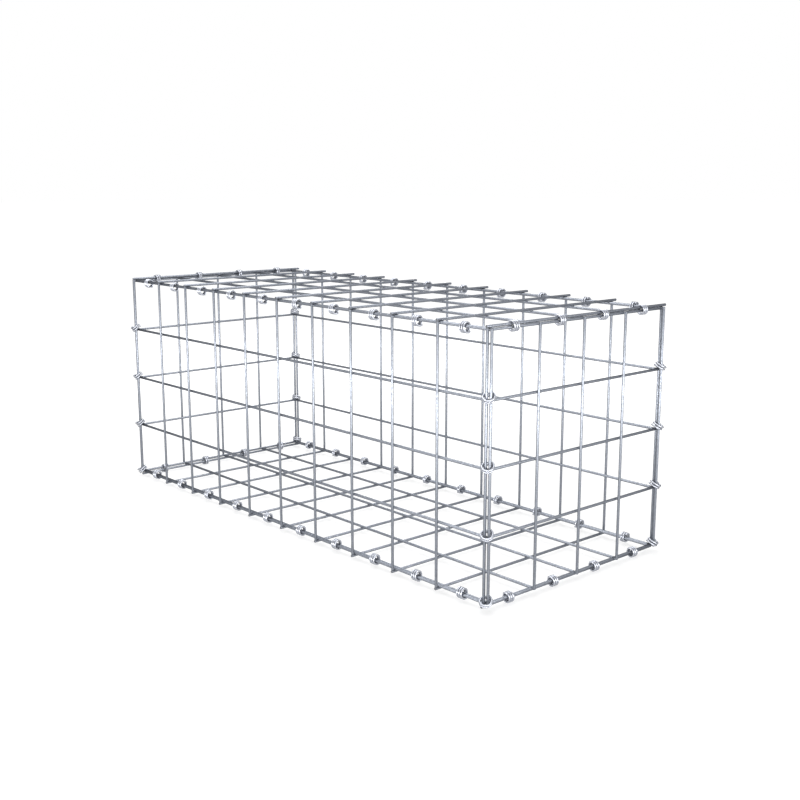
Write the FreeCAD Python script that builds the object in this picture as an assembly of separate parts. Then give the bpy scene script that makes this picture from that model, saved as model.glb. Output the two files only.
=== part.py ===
import FreeCAD, Part
import math
import os

# Gabion basket of welded wire mesh, empty, with its lid laced shut.
# Six welded panels meet at twelve edges, and open double-wound rings lace each edge.
# The frame is Z up, X along the length, -Y to the front, with its origin on the ground
# under the middle of the overall box. Lengths are in millimetres, angles in degrees.

# Basket, measured between wire centres
LENGTH = 1000.0
DEPTH = 400.0
HEIGHT = 400.0
MESH = 100.0

# Mesh wire
WIRE_D = 4.5
WIRE_SIDES = 12
WIRE_GAP = 0.05
CORNER_LAP = 0.45
LID_OVERHANG = 10.0

# Lacing rings
RING_WIRE = 3.0
RING_TURN_GAP = 1.2
RING_SIDES = 7
RING_STEPS = 13
RING_SEAT = 0.3
RING_DROP = 1.0
CORNER_PLAY = 1.75
CORNER_TILT = 25.0
CORNER_CUT_TURN = 45.0
CORNER_LIFT = 4.7

# Layers, worked out from the sizes above
WIRE_R = WIRE_D / 2
# The uprights of the front and back stand outside the end panels' depth.
FRONT_UPRIGHT_Y = DEPTH / 2 + WIRE_R + WIRE_GAP
FRONT_LINE_Y = FRONT_UPRIGHT_Y - WIRE_D
# The line wires of an end panel pass the ends of the front's line wires.
FRONT_LINE_END = LENGTH / 2 - CORNER_LAP
END_LINE_X = FRONT_LINE_END + WIRE_GAP + WIRE_R
END_UPRIGHT_X = END_LINE_X + WIRE_D
# The base and the lid lie between the side panels' edge wires.
BASE_LINE_Z = 0.0
BASE_CROSS_Z = BASE_LINE_Z - WIRE_D
LID_LINE_Z = HEIGHT
LID_CROSS_Z = LID_LINE_Z + WIRE_D
FLAT_LINE_Y = FRONT_LINE_Y - WIRE_D
BASE_CROSS_END_X = END_LINE_X - WIRE_D
CROSS_FRONT_Y = FRONT_UPRIGHT_Y + WIRE_R
# Uprights stand on the base's cross wires and stop under the lid's.
UPRIGHT_BOTTOM = BASE_CROSS_Z + WIRE_R + WIRE_GAP
UPRIGHT_TOP = LID_CROSS_Z - WIRE_R - WIRE_GAP

# An edge ring just spans the widest pair on a level edge, an end wire and the base's
# end cross wire. A corner ring is bent wider, round the two uprights of its corner.
RING_PITCH = RING_WIRE + RING_TURN_GAP
EDGE_BORE = math.hypot(WIRE_D, WIRE_D) + WIRE_D + 2 * RING_SEAT
CORNER_SPAN_X = END_UPRIGHT_X - LENGTH / 2
CORNER_SPAN_Y = FRONT_UPRIGHT_Y - DEPTH / 2
CORNER_BORE = math.hypot(CORNER_SPAN_X, CORNER_SPAN_Y) + WIRE_D + CORNER_PLAY
# A ring hangs with the inside of its bore against the wire that carries it.
RING_REACH = EDGE_BORE / 2 - WIRE_R - RING_SEAT
RING_OUT = math.sqrt(RING_REACH ** 2 - RING_DROP ** 2) - WIRE_R

X = FreeCAD.Vector(1, 0, 0)
Y = FreeCAD.Vector(0, 1, 0)
Z = FreeCAD.Vector(0, 0, 1)


def cells(span):
    """Whole number of meshes that comes nearest to the span."""
    return max(1, round(span / MESH))


def mesh_lines(span):
    """Places of the wires across a span that is centred on zero."""
    count = cells(span)
    return [span * (k / count - 0.5) for k in range(count + 1)]


def mesh_middles(span):
    """Middle of each mesh across a span that is centred on zero."""
    count = cells(span)
    return [span * ((k + 0.5) / count - 0.5) for k in range(count)]


def mesh_levels():
    """Heights of the line wires of a side panel."""
    return [z + HEIGHT / 2 for z in mesh_lines(HEIGHT)]


def wire(start, end):
    """Straight round wire, drawn with flats so that welded wires meet face to face."""
    run = end - start
    turn = FreeCAD.Rotation(Z, run)
    corner_r = WIRE_R / math.cos(math.pi / WIRE_SIDES)
    corners = []
    for k in range(WIRE_SIDES + 1):
        angle = math.pi * (2 * k + 1) / WIRE_SIDES
        corner = FreeCAD.Vector(math.cos(angle), math.sin(angle), 0) * corner_r
        corners.append(start + turn.multVec(corner))
    return Part.Face(Part.makePolygon(corners)).extrude(run)


def wire_x(y, z, low, high):
    """Wire along X."""
    return wire(FreeCAD.Vector(low, y, z), FreeCAD.Vector(high, y, z))


def wire_y(x, z, low, high):
    """Wire along Y."""
    return wire(FreeCAD.Vector(x, low, z), FreeCAD.Vector(x, high, z))


def wire_z(x, y):
    """Upright wire of a side panel."""
    return wire(FreeCAD.Vector(x, y, UPRIGHT_BOTTOM), FreeCAD.Vector(x, y, UPRIGHT_TOP))


def long_side(side):
    """Front (-1) or back (+1) panel, with its uprights outside its line wires."""
    wires = [wire_z(x, side * FRONT_UPRIGHT_Y) for x in mesh_lines(LENGTH)]
    for z in mesh_levels():
        wires.append(wire_x(side * FRONT_LINE_Y, z, -FRONT_LINE_END, FRONT_LINE_END))
    return wires


def end_side(side):
    """Left (-1) or right (+1) panel, with its uprights outside its line wires."""
    wires = [wire_z(side * END_UPRIGHT_X, y) for y in mesh_lines(DEPTH)]
    for z in mesh_levels():
        wires.append(wire_y(side * END_LINE_X, z, -DEPTH / 2, DEPTH / 2))
    return wires


def flat_lines(z):
    """Long wires of the base or the lid, the outer two beside the side panels' wires."""
    inner = mesh_lines(DEPTH)[1:-1]
    places = [-FLAT_LINE_Y] + inner + [FLAT_LINE_Y]
    return [wire_x(y, z, -FRONT_LINE_END, FRONT_LINE_END) for y in places]


def base():
    """Base panel, with its cross wires under its long wires."""
    inner = mesh_lines(LENGTH)[1:-1]
    places = [-BASE_CROSS_END_X] + inner + [BASE_CROSS_END_X]
    crosses = [wire_y(x, BASE_CROSS_Z, -CROSS_FRONT_Y, CROSS_FRONT_Y) for x in places]
    return flat_lines(BASE_LINE_Z) + crosses


def lid():
    """Lid panel, with its cross wires on top and their ends past the back."""
    back = FRONT_UPRIGHT_Y + LID_OVERHANG
    crosses = [wire_y(x, LID_CROSS_Z, -CROSS_FRONT_Y, back) for x in mesh_lines(LENGTH)]
    return flat_lines(LID_LINE_Z) + crosses


def ring_section(step, bore):
    """Corners of the ring's square wire at one bend of its winding about Z."""
    angle = 2 * math.pi * (step + 0.5) / RING_SIDES
    height = RING_PITCH * (step - RING_STEPS / 2) / RING_SIDES
    stretch = 1 / math.cos(math.pi / RING_SIDES)
    inner = bore / 2 * stretch
    outer = (bore / 2 + RING_WIRE) * stretch
    ray = FreeCAD.Vector(math.cos(angle), math.sin(angle), 0)
    low = Z * (height - RING_WIRE / 2)
    high = Z * (height + RING_WIRE / 2)
    return [ray * inner + low, ray * outer + low, ray * outer + high, ray * inner + high]


def facet(*corners):
    """Flat face through its corners."""
    return Part.Face(Part.makePolygon(list(corners) + [corners[0]]))


def ring_leg(near, far):
    """Skin of one straight leg: flat inside and outside, folded above and below."""
    faces = []
    for k in range(4):
        a, b = near[k], near[(k + 1) % 4]
        d, c = far[k], far[(k + 1) % 4]
        if k % 2:
            faces.append(facet(a, b, c, d))
        else:
            faces.append(facet(a, b, c))
            faces.append(facet(a, c, d))
    return faces


def make_ring(bore):
    """Open ring wound nearly twice about Z, with its cut ends on the +X side."""
    sections = [ring_section(step, bore) for step in range(RING_STEPS + 1)]
    faces = [facet(*sections[0]), facet(*sections[-1])]
    for near, far in zip(sections, sections[1:]):
        faces += ring_leg(near, far)
    ring = Part.Solid(Part.Shell(faces))
    if ring.Volume < 0:
        ring.reverse()
    return ring


def set_ring(ring, centre, axis, cut):
    """Copy of the ring with its axis and its cut side turned as given."""
    placed = ring.copy()
    turn = FreeCAD.Rotation(cut, axis.cross(cut), axis, "ZXY")
    placed.Placement = FreeCAD.Placement(centre, turn)
    return placed


def edge_rings(ring, places, centre, axis):
    """Rings along a level edge, one to a mesh, each with a flat side down."""
    turn = FreeCAD.Rotation(axis, 360.0 * (RING_SIDES // 2) / RING_SIDES)
    cut = turn.multVec(-Z)
    return [set_ring(ring, centre + axis * place, axis, cut) for place in places]


def corner_rings(ring, side_x, side_y):
    """Rings on an upright corner, each tipped outward over the line wires of its level."""
    middle_x = side_x * (LENGTH / 2 + CORNER_SPAN_X / 2)
    middle_y = side_y * (DEPTH / 2 + CORNER_SPAN_Y / 2)
    outward = FreeCAD.Vector(side_x, side_y, 0).normalize()
    hinge = Z.cross(outward)
    axis = FreeCAD.Rotation(hinge, CORNER_TILT).multVec(Z)
    cut = FreeCAD.Rotation(axis, -side_x * side_y * CORNER_CUT_TURN).multVec(hinge)
    rings = []
    for z in mesh_levels()[:-1]:
        centre = FreeCAD.Vector(middle_x, middle_y, z + CORNER_LIFT)
        rings.append(set_ring(ring, centre, axis, cut))
    return rings


def all_rings():
    """Rings of all twelve edges, one node to an edge."""
    small = make_ring(EDGE_BORE)
    wide = make_ring(CORNER_BORE)
    along = mesh_middles(LENGTH)
    across = mesh_middles(DEPTH)
    nodes = {}
    # Front and back: the two wires of the pair lie side by side.
    long_y = (FRONT_LINE_Y + FLAT_LINE_Y) / 2 + RING_OUT
    for name, side in (("front", -1), ("back", 1)):
        top = FreeCAD.Vector(0, side * long_y, LID_LINE_Z - RING_DROP)
        bottom = FreeCAD.Vector(0, side * long_y, BASE_LINE_Z - RING_DROP)
        nodes[name + "_top_rings"] = edge_rings(small, along, top, X)
        nodes[name + "_bottom_rings"] = edge_rings(small, along, bottom, X)
    # Ends: the lid's end cross wire lies on top, the base's one below and inside.
    end_top_z = LID_CROSS_Z - RING_REACH
    end_bottom_x = (BASE_CROSS_END_X + END_LINE_X) / 2
    end_bottom_z = BASE_CROSS_Z / 2
    for name, side in (("left", -1), ("right", 1)):
        top = FreeCAD.Vector(side * LENGTH / 2, 0, end_top_z)
        bottom = FreeCAD.Vector(side * end_bottom_x, 0, end_bottom_z)
        nodes[name + "_top_rings"] = edge_rings(small, across, top, Y)
        nodes[name + "_bottom_rings"] = edge_rings(small, across, bottom, Y)
    for name_y, side_y in (("front", -1), ("back", 1)):
        for name_x, side_x in (("left", -1), ("right", 1)):
            name = name_y + "_" + name_x + "_corner_rings"
            nodes[name] = corner_rings(wide, side_x, side_y)
    return nodes


def basket():
    """Every node of the basket, each a group of separate solids."""
    nodes = {
        "front_panel": long_side(-1),
        "back_panel": long_side(1),
        "left_end_panel": end_side(-1),
        "right_end_panel": end_side(1),
        "base_panel": base(),
        "lid_panel": lid(),
    }
    nodes.update(all_rings())
    return {name: Part.makeCompound(solids) for name, solids in nodes.items()}


def export(nodes):
    """Write each node with the origin on the ground under the overall box's middle."""
    box = Part.makeCompound(list(nodes.values())).BoundBox
    ground = FreeCAD.Vector(-box.Center.x, -box.Center.y, -box.ZMin)
    os.makedirs("parts", exist_ok=True)
    for name, shape in nodes.items():
        shape.translate(ground)
        shape.exportStep("parts/" + name + ".step")


export(basket())
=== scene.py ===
"""Looks of a gabion basket of welded wire mesh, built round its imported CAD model.

Each panel is one piece: round zinc-coated wires with sheared ends, welded where they
cross. Each edge has one piece with its open lacing rings. Lengths are in metres.
"""

import math

import bpy
from bpy.props import FloatProperty, FloatVectorProperty, IntProperty, PointerProperty
from bpy.types import Operator, Panel, PropertyGroup
from mathutils import Matrix, Vector


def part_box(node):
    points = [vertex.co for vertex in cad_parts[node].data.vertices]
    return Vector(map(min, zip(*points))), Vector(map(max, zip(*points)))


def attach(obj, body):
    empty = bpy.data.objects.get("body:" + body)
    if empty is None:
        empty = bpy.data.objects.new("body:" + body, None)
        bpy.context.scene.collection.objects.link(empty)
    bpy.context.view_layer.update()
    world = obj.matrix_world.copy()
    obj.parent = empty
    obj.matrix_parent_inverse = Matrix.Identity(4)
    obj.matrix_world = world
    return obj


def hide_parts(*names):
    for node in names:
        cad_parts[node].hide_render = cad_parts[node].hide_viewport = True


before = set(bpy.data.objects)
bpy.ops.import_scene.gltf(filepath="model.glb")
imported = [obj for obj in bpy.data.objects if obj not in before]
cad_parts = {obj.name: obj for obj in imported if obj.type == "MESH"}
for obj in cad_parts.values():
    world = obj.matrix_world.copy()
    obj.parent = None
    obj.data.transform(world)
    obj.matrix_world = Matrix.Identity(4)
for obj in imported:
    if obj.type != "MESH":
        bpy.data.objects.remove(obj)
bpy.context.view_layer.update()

bl_info = {
    "name": "Gabion basket",
    "version": (1, 0, 0),
    "blender": (4, 5, 0),
    "location": "3D View > Sidebar > Gabion",
    "description": "Models the wires, welds and lacing rings of a gabion basket",
    "category": "Mesh",
}

X = Vector((1, 0, 0))
Y = Vector((0, 1, 0))
Z = Vector((0, 0, 1))

FRONT_LOW, FRONT_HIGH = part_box("front_panel")
BACK_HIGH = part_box("back_panel")[1]
BASE_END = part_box("base_panel")[1].x
DEPTH_MIDDLE = (FRONT_LOW.y + BACK_HIGH.y) / 2
LONG_MESHES = 10
SHORT_MESHES = 4

# How far the uprights' ends stay inside the CAD ends
SKIN = 0.00005

# Middle of a ring's hollow: out from the basket's middle, and up or down from the
# edge's line wires
LONG_EDGE_OUT = 0.1957
LONG_TOP_DROP = 0.0020
LONG_BOTTOM_RISE = 0.0013
END_TOP_OUT = 0.5
END_TOP_RISE = 0.00132
END_BOTTOM_OUT = 0.4996
END_BOTTOM_DROP = 0.00225
CORNER_OUT_X = 0.503175
CORNER_OUT_Y = 0.20115

# Modelling; the roundings are shares of the bead's height and of the ring's wire.
SMOOTH_ANGLE = math.radians(40)
BEAD_SIDES = 10
BEAD_ROUNDING = 0.3
CAP_ROUNDING = 0.15

# Zinc coat: width of its crystals on each wire, and width of its clouds in crystals
MESH_GRAIN = 0.0016
RING_GRAIN = 0.0014
CUT_GRAIN = 0.0010
CLOUD_GRAINS = 8
CLOUD_SHARE = 0.55
METAL_SHARE = 0.8
# Places on the ramp from dull to bright, each with its tone against the coat's colour
CRYSTAL_TONES = ((0.25, 0.86), (0.5, 1.0), (0.75, 1.14))
GLOSS_SPREAD = 0.07
PIMPLE_WIDTH = 0.0012
PIMPLE_HEIGHT = 0.0002
PIMPLE_STRENGTH = 0.25

# Studio floor of paper, whose lift to white grows from its low value between two radii
FLOOR_SIDE = 60.0
PAPER_FIBRE = 0.0025
LIFT_LOW = 0.72
LIFT_START = 0.3
LIFT_END = 2.0
# Softboxes: place, width and height
LAMP_AIM = Vector((0, 0, 0.2))
TOP_BOX = (Vector((-0.1, 0.0, 2.1)), 2.0, 1.6)
BACK_BOX = (Vector((-1.7, 1.6, 1.3)), 1.0, 0.8)
# Low strips on the camera's side: turn from the camera in degrees, distance and height
STRIP_TURNS = (("left", -42.0), ("middle", 0.0), ("right", 42.0))
STRIP_OUT = 2.6
STRIP_UP = 0.23
STRIP_SIZE = (1.9, 0.44)

# Camera
IMAGE_SIDE = 800
SENSOR_WIDTH = 36.0
VIEW_DEPTH = 100.0


def linear(hex_colour):
    """sRGB hex colour as linear RGBA."""
    channels = [int(hex_colour[k:k + 2], 16) / 255 for k in (1, 3, 5)]
    return [c / 12.92 if c <= 0.04045 else ((c + 0.055) / 1.055) ** 2.4
            for c in channels] + [1.0]


class WireSizes(PropertyGroup):
    """Sizes of the mesh wires and their welds."""

    diameter: FloatProperty(
        name="Wire", description="Diameter of the mesh wire", default=0.0045,
        unit="LENGTH", subtype="DISTANCE", precision=4)
    pitch: FloatProperty(
        name="Mesh", description="Distance between neighbouring wires", default=0.1,
        unit="LENGTH", subtype="DISTANCE")
    sides: IntProperty(
        name="Sides", description="Faces round a wire", default=16, min=8)
    cut_edge: FloatProperty(
        name="Cut edge", description="Rounding of a sheared wire's rim", default=0.0004,
        unit="LENGTH", subtype="DISTANCE", precision=5)
    weld_radius: FloatProperty(
        name="Weld radius", description="Radius of the bead between two crossed wires",
        default=0.0022, unit="LENGTH", subtype="DISTANCE", precision=5)
    weld_height: FloatProperty(
        name="Weld height", description="Thickness of the bead at its rim",
        default=0.0016, unit="LENGTH", subtype="DISTANCE", precision=5)


class RingSizes(PropertyGroup):
    """Sizes of the lacing rings."""

    diameter: FloatProperty(
        name="Ring wire", description="Diameter of the ring wire", default=0.0031,
        unit="LENGTH", subtype="DISTANCE", precision=4)
    pitch: FloatProperty(
        name="Winding pitch", description="Advance of the wire in one turn",
        default=0.0042, unit="LENGTH", subtype="DISTANCE", precision=4)
    edge_bore: FloatProperty(
        name="Edge bore", description="Inside diameter of a ring on a level edge",
        default=0.01126, unit="LENGTH", subtype="DISTANCE", precision=5)
    edge_turns: FloatProperty(
        name="Edge turns", description="Turns of wire in a ring on a level edge",
        default=2.7)
    corner_bore: FloatProperty(
        name="Corner bore", description="Inside diameter of a ring on an upright corner",
        default=0.0140, unit="LENGTH", subtype="DISTANCE", precision=4)
    corner_turns: FloatProperty(
        name="Corner turns", description="Turns of wire in a ring on a corner",
        default=2.15)
    tilt: FloatProperty(
        name="Corner tilt", description="How far a corner ring tips outward",
        default=math.radians(35.0), unit="ROTATION", subtype="ANGLE")
    turn: FloatProperty(
        name="Corner turn", description="Turn of a corner ring about its own axis",
        default=math.radians(40.0), unit="ROTATION", subtype="ANGLE")
    lift: FloatProperty(
        name="Corner lift", description="Height of a corner ring over its line wires",
        default=0.0046, unit="LENGTH", subtype="DISTANCE", precision=4)
    sides: IntProperty(
        name="Sides", description="Faces round a ring's wire", default=10, min=6)
    steps: IntProperty(
        name="Steps", description="Segments in one turn", default=28, min=12)


class Finishes(PropertyGroup):
    """Colours and gloss of the finishes."""

    mesh: FloatVectorProperty(
        name="Mesh zinc", description="Dull zinc coat of the mesh wire",
        subtype="COLOR", size=3, min=0, max=1, default=linear("#858991")[:3])
    mesh_roughness: FloatProperty(
        name="Mesh roughness", description="Roughness of the mesh wire's coat",
        subtype="FACTOR", min=0, max=1, default=0.36)
    ring: FloatVectorProperty(
        name="Ring zinc", description="Brighter coat of the ring wire",
        subtype="COLOR", size=3, min=0, max=1, default=linear("#b7bac2")[:3])
    ring_roughness: FloatProperty(
        name="Ring roughness", description="Roughness of the ring wire's coat",
        subtype="FACTOR", min=0, max=1, default=0.28)
    film: FloatVectorProperty(
        name="Oxide film", description="Tone of the zinc's oxide film at a grazing angle",
        subtype="COLOR", size=3, min=0, max=1, default=linear("#1c1e22")[:3])
    cut: FloatVectorProperty(
        name="Cut end", description="Sheared ends, where the steel shows",
        subtype="COLOR", size=3, min=0, max=1, default=linear("#707277")[:3])
    cut_roughness: FloatProperty(
        name="Cut roughness", description="Roughness of a sheared end",
        subtype="FACTOR", min=0, max=1, default=0.55)


class StageSettings(PropertyGroup):
    """Camera and light of the stage."""

    azimuth: FloatProperty(
        name="Azimuth", description="Camera's turn round the basket",
        default=math.radians(47.735), unit="ROTATION", subtype="ANGLE")
    elevation: FloatProperty(
        name="Elevation", description="Camera's height angle",
        default=math.radians(10.928), unit="ROTATION", subtype="ANGLE")
    roll: FloatProperty(
        name="Roll", description="Camera's turn about its line of sight",
        default=math.radians(0.11), unit="ROTATION", subtype="ANGLE")
    distance: FloatProperty(
        name="Distance", description="Camera's distance from its target",
        default=2.0428, unit="LENGTH", subtype="DISTANCE")
    target: FloatVectorProperty(
        name="Target", description="Point that the camera is turned to", size=3,
        default=(0.05736, 0.06432, 0.22328), unit="LENGTH", subtype="TRANSLATION")
    centre: FloatVectorProperty(
        name="Centre", description="Place of the target in the image, in pixels",
        size=2, default=(414.5, 393.6))
    lens: FloatProperty(
        name="Lens", description="Focal length in millimetres on a 36 mm sensor",
        default=49.35)
    top_light: FloatProperty(
        name="Top light", description="Level of the softbox over the basket",
        default=1.1)
    front_light: FloatProperty(
        name="Front light", description="Level of each low strip on the camera's side",
        default=0.44)
    back_light: FloatProperty(
        name="Back light", description="Level of the softbox behind the basket",
        default=0.5)
    room_light: FloatProperty(
        name="Room light", description="Level of the light from all round",
        default=0.08)


# Materials

def add_node(tree, kind, inputs=None, **settings):
    """Add a node with its settings; an input is a value or another node's socket."""
    node = tree.nodes.new(kind)
    for name, value in settings.items():
        setattr(node, name, value)
    for name, value in (inputs or {}).items():
        if isinstance(value, bpy.types.NodeSocket):
            tree.links.new(value, node.inputs[name])
        else:
            node.inputs[name].default_value = value
    return node


def new_material(name):
    """Empty node material with its tree."""
    material = bpy.data.materials.new(name)
    material.use_nodes = True
    material.node_tree.nodes.clear()
    return material, material.node_tree


def ramp_colours(ramp, stops):
    """Set a ramp's stops from (position, linear colour) pairs."""
    elements = ramp.color_ramp.elements
    while len(elements) < len(stops):
        elements.new(0.5)
    for element, (position, colour) in zip(elements, stops):
        element.position = position
        element.color = colour


def zinc_material(name, colour, roughness, grain):
    """Hot-dip zinc on drawn wire.

    The coat freezes in crystals of one to two millimetres, some dull and some bright,
    with fine pimples, so it has faintly mottled colour and uneven gloss. The oxide film
    on it dulls what it mirrors at a grazing angle, so a wire is darker at its edges.
    """
    film = bpy.context.scene.gabion_finishes.film
    material, tree = new_material(name)
    place = add_node(tree, "ShaderNodeTexCoord").outputs["Object"]
    crystals = add_node(tree, "ShaderNodeTexVoronoi",
                        {"Vector": place, "Scale": 1 / grain}, feature="F1")
    clouds = add_node(tree, "ShaderNodeTexNoise",
                      {"Vector": place, "Scale": 1 / (grain * CLOUD_GRAINS),
                       "Detail": 3.0, "Roughness": 0.6})
    split = add_node(tree, "ShaderNodeSeparateColor",
                     {"Color": crystals.outputs["Color"]})
    blend = add_node(tree, "ShaderNodeMix",
                     {"Factor": CLOUD_SHARE, "A": split.outputs["Red"],
                      "B": clouds.outputs["Fac"]}, data_type="FLOAT")
    ramp = add_node(tree, "ShaderNodeValToRGB", {"Fac": blend.outputs["Result"]})
    ramp_colours(ramp, [(position, [channel * tone for channel in colour] + [1.0])
                        for position, tone in CRYSTAL_TONES])
    gloss = add_node(tree, "ShaderNodeMapRange",
                     {"Value": blend.outputs["Result"], "From Min": 0.2, "From Max": 0.8,
                      "To Min": roughness + GLOSS_SPREAD,
                      "To Max": roughness - GLOSS_SPREAD})
    pimples = add_node(tree, "ShaderNodeTexNoise",
                       {"Vector": place, "Scale": 1 / PIMPLE_WIDTH, "Detail": 2.0})
    bump = add_node(tree, "ShaderNodeBump",
                    {"Strength": PIMPLE_STRENGTH, "Distance": PIMPLE_HEIGHT,
                     "Height": pimples.outputs["Fac"]})
    shader = add_node(tree, "ShaderNodeBsdfPrincipled",
                      {"Base Color": ramp.outputs["Color"], "Metallic": METAL_SHARE,
                       "Specular Tint": [*film, 1.0],
                       "Roughness": gloss.outputs["Result"],
                       "Normal": bump.outputs["Normal"]})
    add_node(tree, "ShaderNodeOutputMaterial", {"Surface": shader.outputs["BSDF"]})
    return material


def finish(name, colour, roughness, grain):
    """The zinc material of that name, made at its first use."""
    return bpy.data.materials.get(name) or zinc_material(
        name, list(colour), roughness, grain)


def mesh_zinc():
    """Dull zinc of the mesh wires."""
    look = bpy.context.scene.gabion_finishes
    return finish("galvanised_mesh_wire", look.mesh, look.mesh_roughness, MESH_GRAIN)


def ring_zinc():
    """Brighter zinc and aluminium coat of the spring-wire rings."""
    look = bpy.context.scene.gabion_finishes
    return finish("zinc_aluminium_ring_wire", look.ring, look.ring_roughness, RING_GRAIN)


def cut_zinc():
    """Sheared wire ends, where the zinc is thin and the steel shows grey."""
    look = bpy.context.scene.gabion_finishes
    return finish("sheared_wire_end", look.cut, look.cut_roughness, CUT_GRAIN)


# Modelling

def select_only(*objects):
    """Select these objects alone, the first one active."""
    if bpy.context.mode != "OBJECT":
        bpy.ops.object.mode_set(mode="OBJECT")
    bpy.ops.object.select_all(action="DESELECT")
    for thing in objects:
        thing.select_set(True)
    if objects:
        bpy.context.view_layer.objects.active = objects[0]


def edit_faces(thing, chosen):
    """Enter edit mode with only the faces selected that the test chooses."""
    select_only(thing)
    mesh = thing.data
    for vertex in mesh.vertices:
        vertex.select = False
    for edge in mesh.edges:
        edge.select = False
    for face in mesh.polygons:
        face.select = chosen(face)
    bpy.context.tool_settings.mesh_select_mode = (False, False, True)
    bpy.ops.object.mode_set(mode="EDIT")


def round_rims(thing, chosen, width, segments):
    """Bevel the rims of the chosen faces."""
    edit_faces(thing, chosen)
    bpy.ops.mesh.bevel(offset=width, segments=segments, affect="EDGES")
    bpy.ops.object.mode_set(mode="OBJECT")


def is_end(face):
    """Whether a face is an end of something that runs along Z."""
    return abs(face.normal.z) > 0.99


def is_cap(face):
    """Whether a face closes the end of a wound wire."""
    return len(face.vertices) > 4


def shade(thing):
    """Smooth shading that keeps the rims crisp."""
    select_only(thing)
    bpy.ops.object.shade_smooth_by_angle(angle=SMOOTH_ANGLE)


def coat(thing, material, chosen):
    """Coat the whole thing, with sheared steel on the chosen faces."""
    thing.data.materials.append(material)
    thing.data.materials.append(cut_zinc())
    for face in thing.data.polygons:
        face.material_index = int(chosen(face))


def model_wire(length, sizes):
    """Straight wire along Z round the origin, with its sheared ends rounded."""
    select_only()
    bpy.ops.mesh.primitive_cylinder_add(
        vertices=sizes.sides, radius=sizes.diameter / 2, depth=length)
    wire = bpy.context.object
    round_rims(wire, is_end, sizes.cut_edge, 2)
    coat(wire, mesh_zinc(), is_end)
    shade(wire)
    return wire


def model_weld(sizes):
    """Bead squeezed out between two crossed wires, flat across Z."""
    select_only()
    bpy.ops.mesh.primitive_cylinder_add(
        vertices=BEAD_SIDES, radius=sizes.weld_radius, depth=sizes.weld_height)
    weld = bpy.context.object
    round_rims(weld, is_end, sizes.weld_height * BEAD_ROUNDING, 1)
    weld.data.materials.append(mesh_zinc())
    shade(weld)
    return weld


def model_ring(bore, turns, sizes):
    """Open ring wound about Z, with the middle of its wire at +X."""
    select_only()
    rise = sizes.pitch * turns
    middle = bore / 2 + sizes.diameter / 2
    bpy.ops.mesh.primitive_circle_add(
        vertices=sizes.sides, radius=sizes.diameter / 2, fill_type="NOTHING",
        location=(middle, 0, -rise / 2), rotation=(math.pi / 2, 0, 0))
    ring = bpy.context.object
    bpy.ops.object.transform_apply(location=True, rotation=True, scale=True)
    winding = ring.modifiers.new("Winding", "SCREW")
    winding.axis = "Z"
    winding.angle = 2 * math.pi * turns
    winding.screw_offset = rise
    winding.steps = round(sizes.steps * turns)
    winding.render_steps = winding.steps
    bpy.ops.object.modifier_apply(modifier=winding.name)
    edit_faces(ring, lambda face: True)
    bpy.ops.mesh.fill_holes(sides=0)
    bpy.ops.mesh.select_all(action="SELECT")
    bpy.ops.mesh.normals_make_consistent(inside=False)
    bpy.ops.object.mode_set(mode="OBJECT")
    round_rims(ring, is_cap, sizes.diameter * CAP_ROUNDING, 1)
    coat(ring, ring_zinc(), is_cap)
    ring.data.transform(Matrix.Rotation(-math.pi * turns, 4, "Z"))
    shade(ring)
    return ring


def turned(axis, side=None):
    """Rotation that takes Z to the axis and, where it is given, X to the side."""
    z = axis.normalized()
    if side is None:
        return z.to_track_quat("Z", "X").to_matrix().to_4x4()
    x = (side - z * side.dot(z)).normalized()
    y = z.cross(x)
    return Matrix((x, y, z)).transposed().to_4x4()


def lay(model, matrices):
    """Copies of the model at these places, each with its own mesh."""
    copies = []
    for matrix in matrices:
        copy = model.copy()
        copy.data = model.data.copy()
        copy.data.transform(matrix)
        bpy.context.collection.objects.link(copy)
        copies.append(copy)
    return copies


def join_piece(name, parts, node):
    """Join the parts to one piece that stands for the CAD node."""
    if not parts:
        raise RuntimeError("no parts were made for " + name)
    select_only(*parts)
    bpy.ops.object.join()
    piece = bpy.context.object
    piece.name = name
    piece.data.name = name
    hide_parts(node)
    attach(piece, "root")
    return piece


def discard(*models):
    """Remove the models that were only copied."""
    for model in models:
        mesh = model.data
        bpy.data.objects.remove(model)
        bpy.data.meshes.remove(mesh)


def run(start, count, step):
    """Evenly spaced values."""
    return [start + k * step for k in range(count)]


def wires_between(ends, sizes):
    """Wires from point to point, one for each pair of points."""
    wires = []
    for start, end in ends:
        model = model_wire((end - start).length, sizes)
        middle = Matrix.Translation((start + end) / 2)
        wires += lay(model, [middle @ turned(end - start)])
        discard(model)
    return wires


def welds_at(points, axis, sizes):
    """Beads between crossed wires."""
    model = model_weld(sizes)
    beads = lay(model, [Matrix.Translation(p) @ turned(axis) for p in points])
    discard(model)
    return beads


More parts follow.
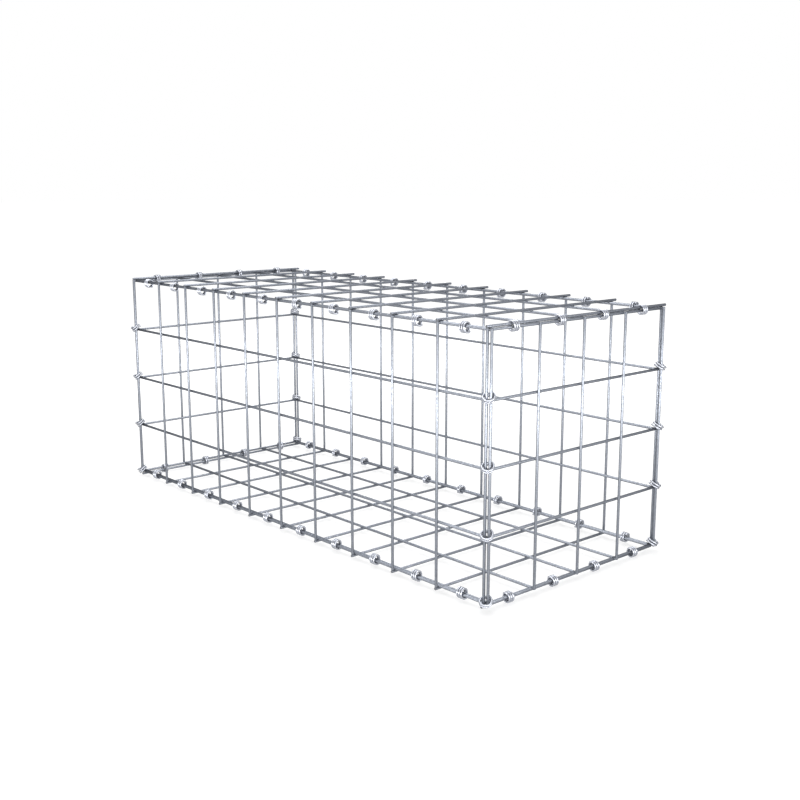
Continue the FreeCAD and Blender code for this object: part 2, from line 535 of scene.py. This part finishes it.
def side_panel(node, name, along, sizes):
    """Side panel with level line wires inside and uprights outside."""
    low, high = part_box(node)
    radius = sizes.diameter / 2
    across = Y if along is X else X
    outward = math.copysign(1.0, (low + high).dot(across))
    outer = (high if outward > 0 else low).dot(across) - outward * radius
    inner = outer - outward * sizes.diameter
    meshes = LONG_MESHES if along is X else SHORT_MESHES
    places = run(low.dot(along) + radius, meshes + 1, sizes.pitch)
    levels = run(low.z + radius, SHORT_MESHES + 1, sizes.pitch)
    middle = (places[0] + places[-1]) / 2
    reach = BASE_END if along is X else places[-1] - middle
    ends = []
    for place in places:
        foot = along * place + across * outer
        ends.append((foot + Z * (low.z + SKIN), foot + Z * (high.z - SKIN)))
    for level in levels:
        row = across * inner + Z * level
        ends.append((row + along * (middle - reach), row + along * (middle + reach)))
    contact = across * (outer + inner) / 2
    points = [along * p + contact + Z * v for p in places for v in levels]
    parts = wires_between(ends, sizes) + welds_at(points, across, sizes)
    return join_piece(name, parts, node)


def flat_panel(node, name, upward, crosses, sizes):
    """Base or lid, with cross wires on its outer face."""
    low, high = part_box(node)
    radius = sizes.diameter / 2
    cross_z = high.z - radius if upward else low.z + radius
    line_z = cross_z - sizes.diameter if upward else cross_z + sizes.diameter
    edge = FRONT_HIGH.y - radius + sizes.diameter
    lines = [edge, *run(DEPTH_MIDDLE - sizes.pitch, SHORT_MESHES - 1, sizes.pitch),
             2 * DEPTH_MIDDLE - edge]
    ends = [(Vector((-BASE_END, y, line_z)), Vector((BASE_END, y, line_z)))
            for y in lines]
    ends += [(Vector((x, low.y, cross_z)), Vector((x, high.y, cross_z)))
             for x in crosses]
    contact = (line_z + cross_z) / 2
    points = [Vector((x, y, contact)) for x in crosses for y in lines]
    parts = wires_between(ends, sizes) + welds_at(points, Z, sizes)
    return join_piece(name, parts, node)


class GABION_OT_long_sides(Operator):
    """Model the front and back panels"""

    bl_idname = "gabion.long_sides"
    bl_label = "Front and back panels"

    def execute(self, context):
        sizes = context.scene.gabion_wires
        side_panel("front_panel", "front_mesh", X, sizes)
        side_panel("back_panel", "back_mesh", X, sizes)
        return {"FINISHED"}


class GABION_OT_ends(Operator):
    """Model the left and right end panels"""

    bl_idname = "gabion.ends"
    bl_label = "End panels"

    def execute(self, context):
        sizes = context.scene.gabion_wires
        side_panel("left_end_panel", "left_end_mesh", Y, sizes)
        side_panel("right_end_panel", "right_end_mesh", Y, sizes)
        return {"FINISHED"}


class GABION_OT_base_and_lid(Operator):
    """Model the base and the lid"""

    bl_idname = "gabion.base_and_lid"
    bl_label = "Base and lid"

    def execute(self, context):
        sizes = context.scene.gabion_wires
        radius = sizes.diameter / 2
        half = (LONG_MESHES - 2) * sizes.pitch / 2
        inner = run(-half, LONG_MESHES - 1, sizes.pitch)
        base_end = BASE_END - radius
        lid_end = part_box("lid_panel")[1].x - radius
        flat_panel("base_panel", "base_mesh", False, [-base_end, *inner, base_end], sizes)
        flat_panel("lid_panel", "lid_mesh", True, [-lid_end, *inner, lid_end], sizes)
        return {"FINISHED"}


def edge_row(model, node, name, along, centre, outward):
    """Rings along a level edge, one to a mesh, with the middle of their wire outward."""
    count = LONG_MESHES if along is X else SHORT_MESHES
    pitch = bpy.context.scene.gabion_wires.pitch
    places = run(centre.dot(along) - (count - 1) * pitch / 2, count, pitch)
    base = centre - along * centre.dot(along)
    matrices = [Matrix.Translation(base + along * p) @ turned(along, outward)
                for p in places]
    return join_piece(name, lay(model, matrices), node)


class GABION_OT_edge_rings(Operator):
    """Model the lacing rings of the eight level edges"""

    bl_idname = "gabion.edge_rings"
    bl_label = "Level edge rings"

    def execute(self, context):
        sizes = context.scene.gabion_rings
        wires = context.scene.gabion_wires
        model = model_ring(sizes.edge_bore, sizes.edge_turns, sizes)
        bottom = FRONT_LOW.z + wires.diameter / 2
        top = bottom + SHORT_MESHES * wires.pitch
        for name, side in (("front", -1), ("back", 1)):
            y = DEPTH_MIDDLE + side * LONG_EDGE_OUT
            for level, z in (("top", top - LONG_TOP_DROP),
                             ("bottom", bottom + LONG_BOTTOM_RISE)):
                centre = Vector((0, y, z))
                label = name + "_" + level
                edge_row(model, label + "_rings", label + "_lacing", X, centre, Y * side)
        for name, side in (("left", -1), ("right", 1)):
            high = Vector((side * END_TOP_OUT, DEPTH_MIDDLE, top + END_TOP_RISE))
            low = Vector((side * END_BOTTOM_OUT, DEPTH_MIDDLE, bottom - END_BOTTOM_DROP))
            for level, centre in (("top", high), ("bottom", low)):
                label = name + "_" + level
                edge_row(model, label + "_rings", label + "_lacing", Y, centre, X * side)
        discard(model)
        return {"FINISHED"}


class GABION_OT_corner_rings(Operator):
    """Model the lacing rings of the four upright corners"""

    bl_idname = "gabion.corner_rings"
    bl_label = "Corner rings"

    def execute(self, context):
        sizes = context.scene.gabion_rings
        wires = context.scene.gabion_wires
        model = model_ring(sizes.corner_bore, sizes.corner_turns, sizes)
        bottom = FRONT_LOW.z + wires.diameter / 2
        levels = run(bottom + sizes.lift, SHORT_MESHES, wires.pitch)
        for name_y, side_y in (("front", -1), ("back", 1)):
            for name_x, side_x in (("left", -1), ("right", 1)):
                outward = Vector((side_x, side_y, 0)).normalized()
                hinge = Z.cross(outward)
                axis = Matrix.Rotation(sizes.tilt, 3, hinge) @ Z
                # The gap between two turns passes the line wires of both panels.
                turn = Matrix.Rotation(-side_x * side_y * sizes.turn, 3, axis)
                spot = Vector((side_x * CORNER_OUT_X,
                               DEPTH_MIDDLE + side_y * CORNER_OUT_Y, 0))
                matrices = [Matrix.Translation(spot + Z * z) @ turned(axis, turn @ hinge)
                            for z in levels]
                label = name_y + "_" + name_x + "_corner"
                join_piece(label + "_lacing", lay(model, matrices), label + "_rings")
        discard(model)
        return {"FINISHED"}


# Stage

def white_for_sight(tree, shown, unseen):
    """Strength that is one value for camera and mirror rays and another for the rest."""
    path = add_node(tree, "ShaderNodeLightPath")
    seen = add_node(tree, "ShaderNodeMath",
                    {0: path.outputs["Is Camera Ray"], 1: path.outputs["Is Glossy Ray"]},
                    operation="MAXIMUM")
    seen = add_node(tree, "ShaderNodeMath",
                    {0: seen.outputs[0], 1: path.outputs["Is Transmission Ray"]},
                    operation="MAXIMUM")
    level = add_node(tree, "ShaderNodeMapRange",
                     {"Value": seen.outputs[0], "To Min": unseen, "To Max": shown})
    return level.outputs["Result"]


def studio_paper():
    """White seamless paper: matt, and lifted to the background's white where it is seen.

    The lift grows outward, so the paper meets the background unseen while the basket's
    faint shadow stays.
    """
    material, tree = new_material("white_studio_paper")
    place = add_node(tree, "ShaderNodeTexCoord").outputs["Object"]
    fibre = add_node(tree, "ShaderNodeTexNoise",
                     {"Vector": place, "Scale": 1 / PAPER_FIBRE})
    tone = add_node(tree, "ShaderNodeValToRGB", {"Fac": fibre.outputs["Fac"]})
    ramp_colours(tone, [(0.3, linear("#9e9e9e")), (0.7, linear("#a2a2a2"))])
    reach = add_node(tree, "ShaderNodeVectorMath", {0: place}, operation="LENGTH")
    lift = add_node(tree, "ShaderNodeMapRange",
                    {"Value": reach.outputs["Value"], "From Min": LIFT_START,
                     "From Max": LIFT_END, "To Min": LIFT_LOW, "To Max": 1.0},
                    interpolation_type="SMOOTHSTEP")
    sight = white_for_sight(tree, 1.0, 0.0)
    glow = add_node(tree, "ShaderNodeMath", {0: lift.outputs["Result"], 1: sight},
                    operation="MULTIPLY")
    shader = add_node(tree, "ShaderNodeBsdfPrincipled",
                      {"Base Color": tone.outputs["Color"], "Roughness": 0.9,
                       "Specular IOR Level": 0.2, "Emission Color": linear("#ffffff"),
                       "Emission Strength": glow.outputs[0]})
    add_node(tree, "ShaderNodeOutputMaterial", {"Surface": shader.outputs["BSDF"]})
    return material


def add_lamp(name, place, width, height, level):
    """Softbox turned to the basket; its level is the light it gives a facing surface."""
    aim = LAMP_AIM - place
    data = bpy.data.lights.new(name, "AREA")
    data.shape = "RECTANGLE"
    data.size = width
    data.size_y = height
    data.energy = level * (math.pi * aim.length) ** 2
    lamp = bpy.data.objects.new(name, data)
    lamp.location = place
    lamp.rotation_euler = aim.to_track_quat("-Z", "Y").to_euler()
    bpy.context.collection.objects.link(lamp)


def add_camera(settings):
    """Camera at the photograph's angle."""
    data = bpy.data.cameras.new("camera")
    data.sensor_width = SENSOR_WIDTH
    data.lens = settings.lens
    data.shift_x = (IMAGE_SIDE / 2 - settings.centre[0]) / IMAGE_SIDE
    data.shift_y = (settings.centre[1] - IMAGE_SIDE / 2) / IMAGE_SIDE
    data.clip_end = VIEW_DEPTH
    camera = bpy.data.objects.new("camera", data)
    a, e = settings.azimuth, settings.elevation
    back = Vector((math.sin(a) * math.cos(e), -math.cos(a) * math.cos(e), math.sin(e)))
    right = Vector((math.cos(a), math.sin(a), 0))
    up = back.cross(right)
    roll = Matrix.Rotation(settings.roll, 3, back)
    turn = Matrix((roll @ right, roll @ up, back)).transposed().to_4x4()
    place = Vector(settings.target) + back * settings.distance
    camera.matrix_world = Matrix.Translation(place) @ turn
    bpy.context.collection.objects.link(camera)
    bpy.context.scene.camera = camera


class GABION_OT_stage(Operator):
    """Set up the floor, the soft light and the camera"""

    bl_idname = "gabion.stage"
    bl_label = "Stage"

    def execute(self, context):
        scene = context.scene
        settings = scene.gabion_stage
        scene.view_settings.view_transform = "Standard"
        select_only()
        bpy.ops.mesh.primitive_plane_add(size=FLOOR_SIDE)
        floor = context.object
        floor.name = "studio_floor"
        floor.data.materials.append(studio_paper())
        world = bpy.data.worlds.new("studio")
        world.use_nodes = True
        tree = world.node_tree
        tree.nodes.clear()
        level = white_for_sight(tree, 1.0, settings.room_light)
        back = add_node(tree, "ShaderNodeBackground",
                        {"Color": linear("#ffffff"), "Strength": level})
        add_node(tree, "ShaderNodeOutputWorld", {"Surface": back.outputs["Background"]})
        scene.world = world
        add_lamp("top_softbox", *TOP_BOX, settings.top_light)
        for name, turn in STRIP_TURNS:
            azimuth = settings.azimuth + math.radians(turn)
            place = Vector((math.sin(azimuth), -math.cos(azimuth), 0)) * STRIP_OUT
            add_lamp("front_strip_" + name, place + Z * STRIP_UP, *STRIP_SIZE,
                     settings.front_light)
        add_lamp("back_softbox", *BACK_BOX, settings.back_light)
        add_camera(settings)
        return {"FINISHED"}


class GABION_PT_panel(Panel):
    """Sizes and steps of the gabion basket"""

    bl_idname = "GABION_PT_panel"
    bl_label = "Gabion basket"
    bl_space_type = "VIEW_3D"
    bl_region_type = "UI"
    bl_category = "Gabion"

    def draw(self, context):
        for group in SETTINGS:
            box = self.layout.box()
            values = getattr(context.scene, group)
            for name in values.bl_rna.properties.keys():
                if name not in ("rna_type", "name"):
                    box.prop(values, name)
        for step in STEPS:
            self.layout.operator(step.bl_idname)


SETTINGS = {
    "gabion_wires": WireSizes,
    "gabion_rings": RingSizes,
    "gabion_finishes": Finishes,
    "gabion_stage": StageSettings,
}
STEPS = (
    GABION_OT_long_sides,
    GABION_OT_ends,
    GABION_OT_base_and_lid,
    GABION_OT_edge_rings,
    GABION_OT_corner_rings,
    GABION_OT_stage,
)


def register():
    """Register the classes and put the settings on the scene."""
    for kind in (*SETTINGS.values(), *STEPS, GABION_PT_panel):
        bpy.utils.register_class(kind)
    for name, group in SETTINGS.items():
        setattr(bpy.types.Scene, name, PointerProperty(type=group))


def unregister():
    """Take the settings and the classes away again."""
    for name in SETTINGS:
        delattr(bpy.types.Scene, name)
    for kind in (GABION_PT_panel, *STEPS, *SETTINGS.values()):
        bpy.utils.unregister_class(kind)


def main():
    """Run the operators in order."""
    register()
    for step in STEPS:
        group, name = step.bl_idname.split(".")
        getattr(getattr(bpy.ops, group), name)()


if __name__ == "__main__":
    main()
